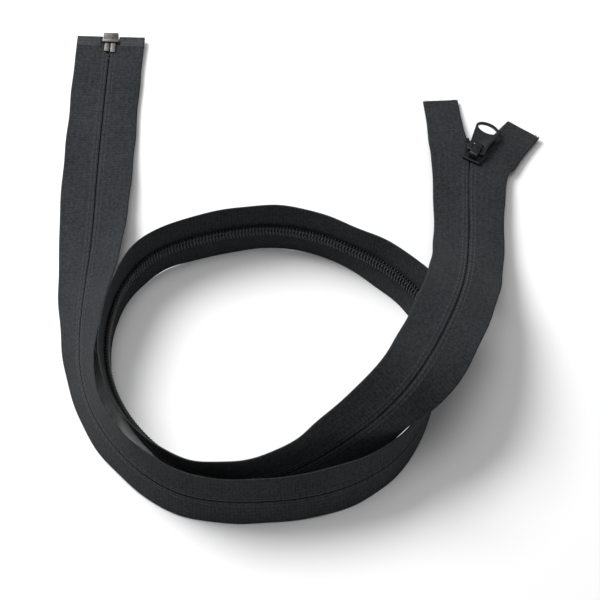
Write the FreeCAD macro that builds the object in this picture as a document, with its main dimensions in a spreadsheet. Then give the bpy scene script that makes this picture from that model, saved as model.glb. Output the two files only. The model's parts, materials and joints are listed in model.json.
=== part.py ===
import FreeCAD, Part
import math
import os
import sys

import Sketcher
from FreeCAD import Placement, Rotation, Vector

# Open-end coil zipper, laid down as one and a quarter turns of a loop that stands on its edge.
# Millimetres, +Z up. The origin is on the floor, under the middle of the zipper's outline.
# The smooth woven side is the front; the coils, and the floor under the two flat ends, are at the back.

SIZES = [
    ("tape_half_width", 16.0, "one tape, from its selvedge to the middle of the chain"),
    ("tape_thickness", 0.6, "woven polyester tape"),
    ("post_clearance", 0.55, "between the post and the tape edges that pass it"),
    ("chain_gap", 0.15, "each tape's and coil's distance from the middle of the chain"),
    ("fold_line", 3.6, "line beside the coil where the right tape folds, from the middle of the chain"),
    ("coil_width", 3.0, "one coil, across the chain"),
    ("coil_depth", 2.0, "one coil, through the chain"),
    ("coil_clearance", 0.05, "between a coil and the tape that it is sewn to"),
    ("cord_offset", 1.55, "middle of the filler cord from the middle of the chain"),
    ("cord_size", 0.8, "filler cord inside each coil"),
    ("cord_clearance", 0.1, "between a filler cord and the coil around it"),
    ("stitch_width", 0.4, "sewing thread, across the chain"),
    ("stitch_height", 0.15, "sewing thread above the tape"),
    ("stitch_clearance", 0.02, "between the sewing thread and the tape under it"),
    ("stitch_inner_offset", 1.0, "inner row of stitches from the middle of the chain"),
    ("stitch_outer_offset", 2.6, "outer row of stitches from the middle of the chain"),
    ("film_length", 5.6, "reinforcing film along the cut end of the tape"),
    ("film_thickness", 0.1, "reinforcing film"),
    ("film_inset", 0.1, "between the film's edges and the tape's selvedge and cut end"),
    ("film_box_gap", 0.5, "between the film and the side of the retainer box"),
    ("film_clearance", 0.02, "between the film and the tape under it"),
    ("box_width", 7.0, "retainer box, across the chain"),
    ("box_length", 5.4, "retainer box, along the chain"),
    ("box_height", 3.8, "retainer box, through the chain"),
    ("box_overhang", 1.2, "retainer box beyond the cut end of the tape"),
    ("box_wall", 0.6, "side walls of the retainer box"),
    ("box_rim_length", 1.6, "raised rim at the mouth of the retainer box"),
    ("box_rim_height", 0.3, "raised rim at the mouth of the retainer box"),
    ("pin_width", 2.5, "retainer pin and insertion pin, across the chain"),
    ("pin_height", 2.4, "retainer pin and insertion pin, through the chain"),
    ("pin_gap", 0.2, "each pin from the middle of the chain"),
    ("retainer_pin_reach", 4.8, "retainer pin beyond the box"),
    ("insertion_pin_reach", 5.3, "insertion pin beyond the box"),
    ("pin_seat", 3.6, "length of each pin inside the box"),
    ("pin_web", 1.0, "solid inner side of each pin"),
    ("pin_slot", 0.7, "slot in each pin that grips the tape"),
    ("coil_end_gap", 0.6, "between the insertion pin's tip and the first coil"),
    ("notch_clearance", 0.15, "between the notched tape end and the metal in the notch"),
    ("hinge_gap", 0.15, "between the lower tapes and the tape tops that turn"),
    ("opening_angle", 6.5, "degrees that each tape top turns outward as the slider goes down"),
    ("slider_skew", 22.0, "degrees that the slider is turned about the tape's normal"),
    ("wing_rear_half", 4.2, "half of the slider's width at its rear mouth"),
    ("wing_shoulder_half", 5.7, "half of the slider's width at its shoulders"),
    ("wing_nose_half", 3.4, "half of the slider's width at its nose"),
    ("wing_shoulder_at", 6.6, "shoulders from the rear mouth"),
    ("wing_length", 10.2, "slider, from the rear mouth to the nose"),
    ("wing_thickness", 1.2, "upper and lower wing"),
    ("upper_gap", 0.75, "upper wing above the middle of the tape"),
    ("lower_gap", 2.65, "lower wing below the middle of the tape"),
    ("flange_width", 0.65, "side flanges on the lower wing"),
    ("flange_gap", 0.6, "top of the flanges below the middle of the tape"),
    ("diamond_half", 1.15, "half of the width of the post between the wings"),
    ("diamond_start", 5.4, "sharp end of the post from the rear mouth"),
    ("diamond_wide_at", 7.6, "widest point of the post from the rear mouth"),
    ("wing_corner", 0.35, "rounded edges of the wings"),
    ("cap_width", 3.8, "cap over the lock, across the slider"),
    ("cap_start", 0.8, "rear foot of the cap from the rear mouth"),
    ("cap_length", 7.8, "cap, along the slider"),
    ("cap_height", 3.5, "cap above the upper wing"),
    ("cap_wall", 0.8, "wall of the cap"),
    ("cap_foot", 1.2, "feet of the cap, along the slider"),
    ("cap_round", 1.4, "rounded ends of the cap"),
    ("pawl_width", 1.7, "locking pawl inside the cap"),
    ("pawl_thickness", 0.35, "locking pawl's leaf"),
    ("pawl_height", 1.8, "locking pawl's leaf above the upper wing"),
    ("pawl_hole", 0.35, "clearance around the pawl's tooth in the upper wing"),
    ("part_clearance", 0.1, "around the pawl inside the cap"),
    ("pawl_tooth_length", 0.7, "pawl's tooth, along the slider"),
    ("pull_pivot_at", 5.0, "pull tab's crossbar from the rear mouth"),
    ("pull_pivot_height", 1.1, "pull tab's crossbar above the upper wing"),
    ("pull_bar_radius", 0.55, "pull tab's crossbar"),
    ("pull_thickness", 1.1, "pull tab's plate"),
    ("pull_leg_half", 4.3, "half of the pull tab's width at its legs"),
    ("pull_window_half", 2.45, "half of the width of the window around the cap"),
    ("pull_window_length", 4.6, "window, from the crossbar forward"),
    ("pull_length", 17.6, "pull tab, from the crossbar to the tip"),
    ("pull_ring_half", 5.7, "half of the pull tab's width at its eye"),
    ("pull_ring_depth", 3.5, "eye's outer outline, from its middle to the tip"),
    ("eye_half_width", 4.6, "half of the oval eye, across the pull tab"),
    ("eye_half_length", 2.4, "half of the oval eye, along the pull tab"),
    ("pull_rest_angle", 5.0, "degrees that the resting pull tab is raised at its tip"),
    ("stop_length", 2.4, "top stops, along the tape edge"),
    ("stop_width", 1.9, "top stops, onto the tape"),
    ("stop_wall", 0.45, "metal of the top stops"),
    ("stop_share", 0.6, "top stops' start, as a share of the first section above the slider"),
    ("stop_back", 0.5, "top stops' extra depth on the coil side"),
    ("stop_slot", 0.8, "slot in each top stop around the tape edge"),
]

# The route of the middle of the chain, in the plane of the tapes: x, y, height and roll.
# The first station is the cut end at the retainer box, the last is where the flat top begins.
# Roll is 0 where the tape lies with its smooth side up and 90 where it stands on its edge.
ROUTE = [
    (-91, 122, 2.5, 0), (-92, 94, 2.5, 0), (-93, 65, 2.8, 1), (-93.5, 35, 3.8, 7),
    (-93.7, 6.8, 6.1, 21), (-94.8, -21.7, 10.3, 39), (-94.8, -50.6, 13.8, 58), (-88.5, -79.7, 15.5, 74),
    (-71, -104.6, 15.8, 78), (-47, -119.6, 15.8, 79), (-18, -122.3, 15.8, 79), (10.7, -118.2, 15.8, 78),
    (37.9, -103.6, 16, 85), (54.9, -77.5, 16, 94), (61.1, -48.4, 15.4, 107), (47, -21, 15.6, 105),
    (22, -2.8, 16, 97), (-8, 7.3, 16, 94), (-39, 4.3, 16, 95), (-67.5, -8, 16, 94),
    (-82.3, -33.8, 16, 91), (-82.5, -64.7, 16, 97), (-68.7, -91.4, 15.8, 100), (-45, -109.6, 16, 95),
    (-16, -114.6, 19.5, 76), (11.7, -104.9, 27.6, 66), (35.9, -93, 46.5, 41), (53.4, -67.8, 44.7, 18),
    (65.9, -37.6, 36.1, 14), (71.6, -11.6, 20.1, 9), (74, 10, 11, 8),
]

# Extra roll of the right tape alone, by station number, where it folds beside the coil to hang
# past the inside of the standing strand that it crosses. It is 0 at every other station.
RIGHT_FOLD = {26: 27}

# Where the chain enters the slider.
MOUTH = Vector(76.4, 48, 6.3)

# Cut tape ends above the slider: inner and outer corner of each section, from the slider outward.
LEFT_TAIL = [
    (Vector(75.8, 63, 4.4), Vector(57.6, 63, 5.2)),
    (Vector(74.1, 74, 3), Vector(57.4, 74, 3.4)),
    (Vector(72.9, 86, 1.6), Vector(56.2, 85.5, 1.2)),
]
RIGHT_TAIL = [
    (Vector(84.5, 60, 4.2), Vector(99.4, 50.4, 3.2)),
    (Vector(90, 67, 3.8), Vector(104.2, 57.2, 2.8)),
    (Vector(95.3, 73.2, 3), Vector(109.3, 64.2, 2.2)),
]

# Where the sections of the tapes that cross the slider lie on the slider's own plane, as seen from above.
LEFT_MOUTH_SELVEDGE = (58.8, 50.8)
RIGHT_MOUTH_SELVEDGE = (93.8, 42.6)
LEFT_NOSE_SELVEDGE = (57.9, 58)
RIGHT_NOSE_SELVEDGE = (96.8, 46.4)

SECTIONS_PER_STATION = 3

LEFT = 1
RIGHT = -1

doc = FreeCAD.newDocument("zipper")
sheet = doc.addObject("Spreadsheet::Sheet", "Sizes")
for row, (alias, value, note) in enumerate(SIZES, start=1):
    sheet.set(f"A{row}", note)
    sheet.set(f"B{row}", str(value))
    sheet.setAlias(f"B{row}", alias)
FORMULAS = [
    ("rear_inside", "wing_rear_half - flange_width", "inner side of the flanges at the rear mouth"),
    ("shoulder_inside", "wing_shoulder_half - flange_width", "inner side of the flanges at the shoulders"),
    ("tooth_hole_half", "pawl_width / 2 + pawl_hole", "half of the width of the tooth's hole"),
    ("tooth_hole_start", "cap_start + cap_foot + part_clearance - pawl_hole", "rear end of the hole"),
    ("tooth_hole_end", "tooth_hole_start + pawl_tooth_length + 2 * pawl_hole", "front end of the hole"),
    ("pull_eye_at", "pull_length - pull_ring_depth", "middle of the eye from the crossbar"),
]
for row, (alias, formula, note) in enumerate(FORMULAS, start=len(SIZES) + 1):
    sheet.set(f"A{row}", note)
    sheet.set(f"B{row}", f"={formula}")
    sheet.setAlias(f"B{row}", alias)
doc.recompute()

nodes = []


def size(alias):
    return float(sheet.get(alias))


def keep(part, label):
    """Give a finished sub-part its label and put it on the list of nodes."""
    part.Label = label
    nodes.append(part)
    return part


def feature(label, shape):
    """A sub-part whose shape follows the route, which no primitive can hold."""
    part = doc.addObject("Part::Feature", label)
    part.Shape = shape
    return keep(part, label)


# ---------------------------------------------------------------- the route as a smooth curve

def spline_slopes(values, last_slope):
    """Slopes of a uniform cubic spline, free at its first point and held at its last."""
    count = len(values)
    upper = [0.5]
    right = [1.5 * (values[1] - values[0])]
    for i in range(1, count - 1):
        divisor = 4 - upper[-1]
        right.append((3 * (values[i + 1] - values[i - 1]) - right[-1]) / divisor)
        upper.append(1 / divisor)
    slopes = [last_slope]
    for i in range(count - 2, -1, -1):
        slopes.insert(0, right[i] - upper[i] * slopes[0])
    return slopes


HINGE = Vector(*ROUTE[-1][:3])
CHAIN_END_DIRECTION = (MOUTH - HINGE).normalize()
LAST_SPACING = (HINGE - Vector(*ROUTE[-2][:3])).Length
LAST_SLOPES = [*(CHAIN_END_DIRECTION * LAST_SPACING), 0]
FOLDS = [RIGHT_FOLD.get(i, 0) for i in range(len(ROUTE))]
FOLD_COLUMN = 4
COLUMNS = [[station[i] for station in ROUTE] for i in range(4)] + [FOLDS]
SLOPES = [spline_slopes(column, last) for column, last in zip(COLUMNS, LAST_SLOPES + [0])]


def route_value(column, t):
    """Value and slope of one of x, y, height, roll and fold at station number t."""
    i = min(int(t), len(ROUTE) - 2)
    f = t - i
    a, b = COLUMNS[column][i], COLUMNS[column][i + 1]
    m, n = SLOPES[column][i], SLOPES[column][i + 1]
    value = (a * (1 + 2 * f) * (1 - f) ** 2 + m * f * (1 - f) ** 2
             + b * f * f * (3 - 2 * f) + n * f * f * (f - 1))
    slope = (6 * f * (f - 1) * (a - b) + m * (1 - f) * (1 - 3 * f) + n * f * (3 * f - 2))
    return value, slope


def chain_frame(direction, roll):
    """Directions across the chain, towards the left tape, and out of the smooth side."""
    level = Vector(0, 0, 1).cross(direction).normalize()
    rise = direction.cross(level)
    across = level * math.cos(math.radians(roll)) + rise * math.sin(math.radians(roll))
    return across, direction.cross(across)


def route_frame(t, side=LEFT):
    """Point on the chain's middle, and the directions along, across and out of one of the tapes."""
    values = [route_value(column, t) for column in range(4)]
    point = Vector(*[value for value, slope in values[:3]])
    along = Vector(*[slope for value, slope in values[:3]]).normalize()
    fold = route_value(FOLD_COLUMN, t)[0] if side == RIGHT else 0
    across, out = chain_frame(along, values[3][0] + fold)
    return point, along, across, out


END_ROLL = ROUTE[-1][3]
END_ACROSS, END_OUT = chain_frame(CHAIN_END_DIRECTION, END_ROLL)
START_POINT, START_ALONG, START_ACROSS, START_OUT = route_frame(0)


def stations_between(first, last):
    """Evenly spaced station numbers for the sections of a strip."""
    count = max(2, round((last - first) * SECTIONS_PER_STATION) + 1)
    return [first + (last - first) * i / (count - 1) for i in range(count)]


# ---------------------------------------------------------------- strips that follow the route

def corner_points(point, across, out, inner, outer, low, high):
    """Four corners of a rectangle in the plane across the chain."""
    corners = [(inner, low), (outer, low), (outer, high), (inner, high)]
    return [point + across * u + out * n for u, n in corners]


def section(*place_and_sizes):
    """The same rectangle as a closed wire."""
    corners = corner_points(*place_and_sizes)
    return Part.makePolygon(corners + corners[:1])


def smooth_curve(points, parameters):
    curve = Part.BSplineCurve()
    curve.interpolate(Points=points, Parameters=parameters)
    return curve


def band(first, second):
    """Ruled face between two curves that share their knots."""
    poles = [[a, b] for a, b in zip(first.getPoles(), second.getPoles())]
    surface = Part.BSplineSurface()
    surface.buildFromPolesMultsKnots(poles, first.getMultiplicities(), [2, 2], first.getKnots(), [0, 1],
                                     False, False, first.Degree, 1)
    return surface.toShape()


def strip_corners(t, side, outline):
    """Corners of one section of a strip; past its fold line the tape turns by its fold."""
    point, along, across, out = route_frame(t)
    folded_across, folded_out = route_frame(t, side)[2:]
    line = size("fold_line")
    corners = []
    for u, n in outline:
        if u <= line:
            corners.append(point + across * (side * u) + out * n)
        else:
            corners.append(point + across * (side * line) + folded_across * (side * (u - line))
                           + folded_out * n)
    return corners


def lower_strip(side, inner, outer, low, high, first=0.0):
    """Solid strip along the route, on one side of the chain, up to the hinge gap."""
    parameters = stations_between(first, len(ROUTE) - 1)
    outline = [(inner, low), (outer, low), (outer, high), (inner, high)]
    line = size("fold_line")
    if side == RIGHT and inner < line < outer:
        outline.insert(1, (line, low))
        outline.insert(4, (line, high))
    sections = [strip_corners(t, side, outline) for t in parameters]
    count = len(outline)
    curves = [smooth_curve([corners[i] for corners in sections], parameters) for i in range(count)]
    faces = [band(curves[i], curves[(i + 1) % count]) for i in range(count)]
    for corners in (sections[0], sections[-1]):
        faces.append(Part.Face(Part.makePolygon(corners + corners[:1])))
    shell = Part.makeShell(faces)
    shell.sewShape()
    solid = Part.makeSolid(shell)
    if solid.Volume < 0:
        solid.reverse()
    return solid


def hollow(outer_strip, inner_strip):
    """Tube between two strips that share their end planes."""
    return outer_strip.cut(inner_strip)


# The sections above the hinge lie between an inner and an outer corner, which the tape edges join.
SKEW = math.radians(size("slider_skew"))
SLIDER_ALONG = CHAIN_END_DIRECTION * math.cos(SKEW) - END_ACROSS * math.sin(SKEW)
SLIDER_RIGHT = SLIDER_ALONG.cross(END_OUT)


def on_slider_plane(x, y):
    """Point of the slider's plane with the given x and y."""
    drop = ((x - MOUTH.x) * END_OUT.x + (y - MOUTH.y) * END_OUT.y) / END_OUT.z
    return Vector(x, y, MOUTH.z - drop)


def top_sections(side):
    """Inner and outer corners of one tape's sections from the hinge to the cut end."""
    gap = size("chain_gap")
    width = size("tape_half_width")
    wedge = math.tan(math.radians(size("opening_angle")))
    inner_rise = size("hinge_gap") + gap * wedge
    outer_rise = size("hinge_gap") + width * wedge
    across = END_ACROSS * side
    hinge_inner = HINGE + across * gap + CHAIN_END_DIRECTION * inner_rise
    hinge_outer = HINGE + across * width + CHAIN_END_DIRECTION * outer_rise
    mouth_inner = MOUTH + across * gap
    post_side = SLIDER_RIGHT * (-side * (size("diamond_half") + size("post_clearance")))
    nose_inner = MOUTH + post_side + SLIDER_ALONG * size("diamond_wide_at")
    if side == LEFT:
        mouth_outer = on_slider_plane(*LEFT_MOUTH_SELVEDGE)
        nose_outer = on_slider_plane(*LEFT_NOSE_SELVEDGE)
        tail = LEFT_TAIL
    else:
        mouth_outer = on_slider_plane(*RIGHT_MOUTH_SELVEDGE)
        nose_outer = on_slider_plane(*RIGHT_NOSE_SELVEDGE)
        tail = RIGHT_TAIL
    return [(hinge_inner, hinge_outer), (mouth_inner, mouth_outer), (nose_inner, nose_outer)] + tail


def section_normals(corners, side):
    """Direction out of the smooth side at each section."""
    normals = []
    for i, (inner, outer) in enumerate(corners):
        if i < 3:
            normals.append(END_OUT)
            continue
        before = corners[i - 1][0] + corners[i - 1][1]
        after = corners[min(i + 1, len(corners) - 1)]
        along = after[0] + after[1] - before
        normals.append(along.cross(outer - inner).normalize() * side)
    return normals


def top_strip(side, inner, outer, low, high, last=None):
    """Solid strip above the hinge; inner and outer are measured from the tape's inner edge."""
    corners = top_sections(side)
    normals = section_normals(corners, side)
    wires = []
    for (a, b), out in list(zip(corners, normals))[:last]:
        across = (b - a).normalize()
        far = (b - a).Length if outer is None else outer
        wires.append(section(a, across, out, inner, far, low, high))
    return Part.makeLoft(wires, True, True)


def side_name(side):
    return "left" if side == LEFT else "right"


HALF_TAPE = size("tape_thickness") / 2
CHAIN_GAP = size("chain_gap")
COIL_TOP = -HALF_TAPE - size("coil_clearance")
COIL_BOTTOM = COIL_TOP - size("coil_depth")
CORD_MIDDLE = (COIL_TOP + COIL_BOTTOM) / 2
# The coils and stitches start beyond the pins, which take up the first part of the tape edges.
METAL_END = size("box_length") - size("box_overhang") + size("insertion_pin_reach")
METAL_END += size("coil_end_gap")
CHAIN_START = METAL_END / (START_POINT - Vector(*ROUTE[1][:3])).Length
COIL_SECTIONS_ABOVE_HINGE = 3


def start_block(side, inner, outer, low, high, first, last):
    """Block at the cut end, across and along the first, straight stretch of the chain."""
    wires = []
    for distance in (first, last):
        point = START_POINT + START_ALONG * distance
        wires.append(section(point, START_ACROSS * side, START_OUT, inner, outer, low, high))
    return Part.makeLoft(wires, True, True)


def build_tapes():
    clearance = size("notch_clearance")
    box_end = size("box_length") - size("box_overhang") + clearance
    for side in (LEFT, RIGHT):
        tape = lower_strip(side, CHAIN_GAP, size("tape_half_width"), -HALF_TAPE, HALF_TAPE)
        box_side = size("box_width") / 2 + size("box_rim_height") + clearance
        box_notch = start_block(side, -1, box_side, -1, 1, -1, box_end)
        reach = size("pin_gap") + size("pin_web") + clearance
        pin_notch = start_block(side, -1, reach, -1, 1, -1, METAL_END)
        tape = tape.cut(box_notch).cut(pin_notch)
        feature(f"{side_name(side)}_tape", tape)
        feature(f"{side_name(side)}_tape_top", top_strip(side, 0, None, -HALF_TAPE, HALF_TAPE))


def build_coils_and_cords():
    half = size("cord_size") / 2
    space = half + size("cord_clearance")
    middle = size("cord_offset")
    start = CHAIN_GAP
    end = CHAIN_GAP + size("coil_width")
    for side in (LEFT, RIGHT):
        name = side_name(side)
        outer = lower_strip(side, start, end, COIL_BOTTOM, COIL_TOP, CHAIN_START)
        inner = lower_strip(side, middle - space, middle + space,
                            CORD_MIDDLE - space, CORD_MIDDLE + space, CHAIN_START)
        feature(f"{name}_coil", hollow(outer, inner))
        cord = lower_strip(side, middle - half, middle + half,
                           CORD_MIDDLE - half, CORD_MIDDLE + half, CHAIN_START)
        feature(f"{name}_filler_cord", cord)
        outer = top_strip(side, 0, end - start, COIL_BOTTOM, COIL_TOP, COIL_SECTIONS_ABOVE_HINGE)
        inner = top_strip(side, middle - space - start, middle + space - start,
                          CORD_MIDDLE - space, CORD_MIDDLE + space, COIL_SECTIONS_ABOVE_HINGE)
        feature(f"{name}_coil_top", hollow(outer, inner))
        cord = top_strip(side, middle - half - start, middle + half - start,
                         CORD_MIDDLE - half, CORD_MIDDLE + half, COIL_SECTIONS_ABOVE_HINGE)
        feature(f"{name}_filler_cord_top", cord)


def build_stitches():
    low = HALF_TAPE + size("stitch_clearance")
    high = HALF_TAPE + size("stitch_height")
    for side in (LEFT, RIGHT):
        for row in ("inner", "outer"):
            start = size(f"stitch_{row}_offset")
            end = start + size("stitch_width")
            name = f"{side_name(side)}_{row}_stitching"
            feature(name, lower_strip(side, start, end, low, high, CHAIN_START))
            top = top_strip(side, start - CHAIN_GAP, end - CHAIN_GAP, low, high,
                            COIL_SECTIONS_ABOVE_HINGE)
            feature(f"{name}_top", top)


def build_films():
    near = HALF_TAPE + size("film_clearance")
    far = near + size("film_thickness")
    start = size("box_width") / 2 + size("box_rim_height") + size("film_box_gap")
    end = size("tape_half_width") - size("film_inset")
    first = size("film_inset")
    for side in (LEFT, RIGHT):
        name = side_name(side)
        length = size("film_length")
        feature(f"{name}_front_film", start_block(side, start, end, near, far, first, length))
        feature(f"{name}_back_film", start_block(side, start, end, -far, -near, first, length))


# ---------------------------------------------------------------- parts made of primitives

def block(name, length, width, height, x="0", y="0", z="0"):
    """A box whose sizes and place are bound to the sheet."""
    part = doc.addObject("Part::Box", name)
    part.setExpression("Length", length)
    part.setExpression("Width", width)
    part.setExpression("Height", height)
    part.setExpression(".Placement.Base.x", x)
    part.setExpression(".Placement.Base.y", y)
    part.setExpression(".Placement.Base.z", z)
    return part


def cut(name, base, tool):
    part = doc.addObject("Part::Cut", name)
    part.Base = base
    part.Tool = tool
    return part


def fuse(name, parts):
    part = doc.addObject("Part::MultiFuse", name)
    part.Shapes = parts
    part.Refine = True
    return part


def frame_placement(origin, right, along, up):
    """Placement that takes X to right, Y to along and Z to up."""
    return Placement(origin, Rotation(right, along, up, "XYZ"))


# At the box end X is across the chain towards the right tape, Y runs along the zipper and Z is out.
BOX_PLACE = frame_placement(START_POINT, START_ALONG.cross(START_OUT), START_ALONG, START_OUT)


def build_retainer_box():
    outer = block("box_outer", "Sizes.box_width", "Sizes.box_length", "Sizes.box_height",
                  "-Sizes.box_width / 2", "-Sizes.box_overhang", "-Sizes.box_height / 2")
    rim = block("box_rim", "Sizes.box_width + 2 * Sizes.box_rim_height", "Sizes.box_rim_length",
                "Sizes.box_height + 2 * Sizes.box_rim_height",
                "-Sizes.box_width / 2 - Sizes.box_rim_height",
                "Sizes.box_length - Sizes.box_overhang - Sizes.box_rim_length",
                "-Sizes.box_height / 2 - Sizes.box_rim_height")
    cavity = block("box_cavity", "Sizes.box_width - 2 * Sizes.box_wall", "Sizes.pin_seat + 2",
                   "Sizes.box_height - 2 * Sizes.box_wall",
                   "-Sizes.box_width / 2 + Sizes.box_wall",
                   "Sizes.box_length - Sizes.box_overhang - Sizes.pin_seat - 0.1",
                   "-Sizes.box_height / 2 + Sizes.box_wall")
    part = cut("retainer_box", fuse("box_body", [outer, rim]), cavity)
    part.Placement = BOX_PLACE
    keep(part, "retainer_box")


def build_pin(label, side, reach):
    """A pin, right of the middle of the chain for the right tape and left of it for the left."""
    start = "Sizes.box_length - Sizes.box_overhang - Sizes.pin_seat"
    length = f"Sizes.pin_seat + Sizes.{reach}"
    if side == RIGHT:
        body_x = "Sizes.pin_gap"
        slot_x = "Sizes.pin_gap + Sizes.pin_web"
    else:
        body_x = "-Sizes.pin_gap - Sizes.pin_width"
        slot_x = "-Sizes.pin_gap - Sizes.pin_width - 1"
    body = block(f"{label}_bar", "Sizes.pin_width", length, "Sizes.pin_height",
                 body_x, start, "-Sizes.pin_height / 2")
    slot = block(f"{label}_slot", "Sizes.pin_width - Sizes.pin_web + 1", f"Sizes.{reach} + 2",
                 "Sizes.pin_slot", slot_x, "Sizes.box_length - Sizes.box_overhang",
                 "-Sizes.pin_slot / 2")
    part = cut(label, body, slot)
    part.Placement = BOX_PLACE
    keep(part, label)


# On the slider X is to its right, Y from its rear mouth to its nose, Z out of the smooth side,
# and the origin is in the rear mouth, in the middle of the tape's thickness.
SLIDER_PLACE = frame_placement(MOUTH, SLIDER_RIGHT, SLIDER_ALONG, END_OUT)


def negated(cell):
    """The same cell of the sheet with its sign changed."""
    return cell[1:] if cell.startswith("-") else f"-{cell}"


def mirrored(corners):
    """Outline whose right half is given from its rear to its front, with the left half added."""
    return corners + [(negated(x), y) for x, y in reversed(corners) if x != "0"]


def cell_value(cell):
    return -size(cell[1:]) if cell.startswith("-") else size(cell)


def cell_formula(cell):
    return f"-Sizes.{cell[1:]}" if cell.startswith("-") else f"Sizes.{cell}"


def bound_sketch(body, name, outlines, height):
    """Closed polygons on a body's XY plane, each corner bound to two cells of the sheet."""
    plane = [f for f in body.Origin.OriginFeatures if f.Role == "XY_Plane"][0]
    sketch = body.newObject("Sketcher::SketchObject", name)
    sketch.AttachmentSupport = [(plane, "")]
    sketch.MapMode = "FlatFace"
    sketch.setExpression(".AttachmentOffset.Base.z", height)
    for corners in outlines:
        first = sketch.GeometryCount
        count = len(corners)
        points = []
        for x, y in corners:
            points.append(Vector(0 if x == "0" else cell_value(x), 0 if y == "0" else cell_value(y), 0))
        for i, point in enumerate(points):
            sketch.addGeometry(Part.LineSegment(point, points[(i + 1) % count]), False)
        for i in range(count):
            following = first + (i + 1) % count
            sketch.addConstraint(Sketcher.Constraint("Coincident", first + i, 2, following, 1))
        for i, (x, y) in enumerate(corners):
            for kind, cell, axis in (("DistanceX", x, -2), ("DistanceY", y, -1)):
                if cell == "0":
                    sketch.addConstraint(Sketcher.Constraint("PointOnObject", first + i, 1, axis))
                    continue
                distance = Sketcher.Constraint(kind, -1, 1, first + i, 1, cell_value(cell))
                index = sketch.addConstraint(distance)
                sketch.setExpression(f"Constraints[{index}]", cell_formula(cell))
    return sketch


def pad(body, name, sketch, length):
    feature_object = body.newObject("PartDesign::Pad", name)
    feature_object.Profile = sketch
    feature_object.setExpression("Length", length)
    sketch.Visibility = False
    return feature_object


WING = mirrored([("wing_rear_half", "0"), ("wing_shoulder_half", "wing_shoulder_at"),
                 ("wing_nose_half", "wing_length")])
FLANGE = [("wing_rear_half", "0"), ("wing_shoulder_half", "wing_shoulder_at"),
          ("shoulder_inside", "wing_shoulder_at"), ("rear_inside", "0")]
POST = mirrored([("0", "diamond_start"), ("diamond_half", "diamond_wide_at"), ("0", "wing_length")])
TOOTH_HOLE = mirrored([("tooth_hole_half", "tooth_hole_start"), ("tooth_hole_half", "tooth_hole_end")])


def horizontal_edges(shape, height):
    """Names of a shape's edges that lie in the level plane at the given height."""
    names = []
    for number, edge in enumerate(shape.Edges, start=1):
        box = edge.BoundBox
        if abs(box.ZMin - height) < 0.001 and abs(box.ZMax - height) < 0.001:
            names.append(f"Edge{number}")
    return names


def build_slider_body():
    body = doc.addObject("PartDesign::Body", "slider_body")
    flange_left = [(negated(x), y) for x, y in FLANGE]
    lower = bound_sketch(body, "lower_wing_outline", [WING], "-Sizes.lower_gap - Sizes.wing_thickness")
    pad(body, "lower_wing", lower, "Sizes.wing_thickness")
    flanges = bound_sketch(body, "flange_outline", [FLANGE, flange_left], "-Sizes.lower_gap")
    pad(body, "flanges", flanges, "Sizes.lower_gap - Sizes.flange_gap")
    post = bound_sketch(body, "post_outline", [POST], "-Sizes.lower_gap")
    pad(body, "post", post, "Sizes.lower_gap + Sizes.upper_gap")
    upper = bound_sketch(body, "upper_wing_outline", [WING], "Sizes.upper_gap")
    solid = pad(body, "upper_wing", upper, "Sizes.wing_thickness")
    doc.recompute()
    before = solid.Shape.Volume
    hole = bound_sketch(body, "tooth_hole_outline", [TOOTH_HOLE], "Sizes.upper_gap")
    pocket = body.newObject("PartDesign::Pocket", "tooth_hole")
    pocket.Profile = hole
    pocket.Reversed = True
    pocket.setExpression("Length", "Sizes.wing_thickness")
    doc.recompute()
    if pocket.Shape.Volume > before - 0.1:
        sys.exit("the tooth's hole cut nothing")
    top = size("upper_gap") + size("wing_thickness")
    bottom = -size("lower_gap") - size("wing_thickness")
    shape = pocket.Shape
    hole_edges = 2 * size("tooth_hole_half") + 0.01
    edges = [name for name in horizontal_edges(shape, top)
             if shape.getElement(name).BoundBox.XLength > hole_edges
             or abs(shape.getElement(name).BoundBox.Center.x) > hole_edges]
    rounding = body.newObject("PartDesign::Fillet", "wing_rounding")
    rounding.Base = (pocket, edges + horizontal_edges(shape, bottom))
    rounding.setExpression("Radius", "Sizes.wing_corner")
    body.Placement = SLIDER_PLACE
    keep(body, "slider_body")


# The cap, pawl and pull tab stand on the upper wing.
WING_TOP = "Sizes.upper_gap + Sizes.wing_thickness"


def build_slider_cap():
    """Bridge over the pull tab's crossbar, with rounded ends."""
    outer = block("cap_outer", "Sizes.cap_width", "Sizes.cap_length", "Sizes.cap_height",
                  "-Sizes.cap_width / 2", "Sizes.cap_start", WING_TOP)
    doc.recompute()
    top = size("upper_gap") + size("wing_thickness") + size("cap_height")
    rounded = doc.addObject("Part::Fillet", "cap_rounded")
    rounded.Base = outer
    ends = [int(name[4:]) for name in horizontal_edges(outer.Shape, top)
            if outer.Shape.getElement(name).BoundBox.XLength > 1]
    rounded.Edges = [(number, size("cap_round"), size("cap_round")) for number in ends]
    opening = block("cap_opening", "Sizes.cap_width + 2", "Sizes.cap_length - 2 * Sizes.cap_foot",
                    "Sizes.cap_height - Sizes.cap_wall", "-Sizes.cap_width / 2 - 1",
                    "Sizes.cap_start + Sizes.cap_foot", WING_TOP)
    part = cut("slider_cap", rounded, opening)
    part.Placement = SLIDER_PLACE
    keep(part, "slider_cap")


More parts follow.
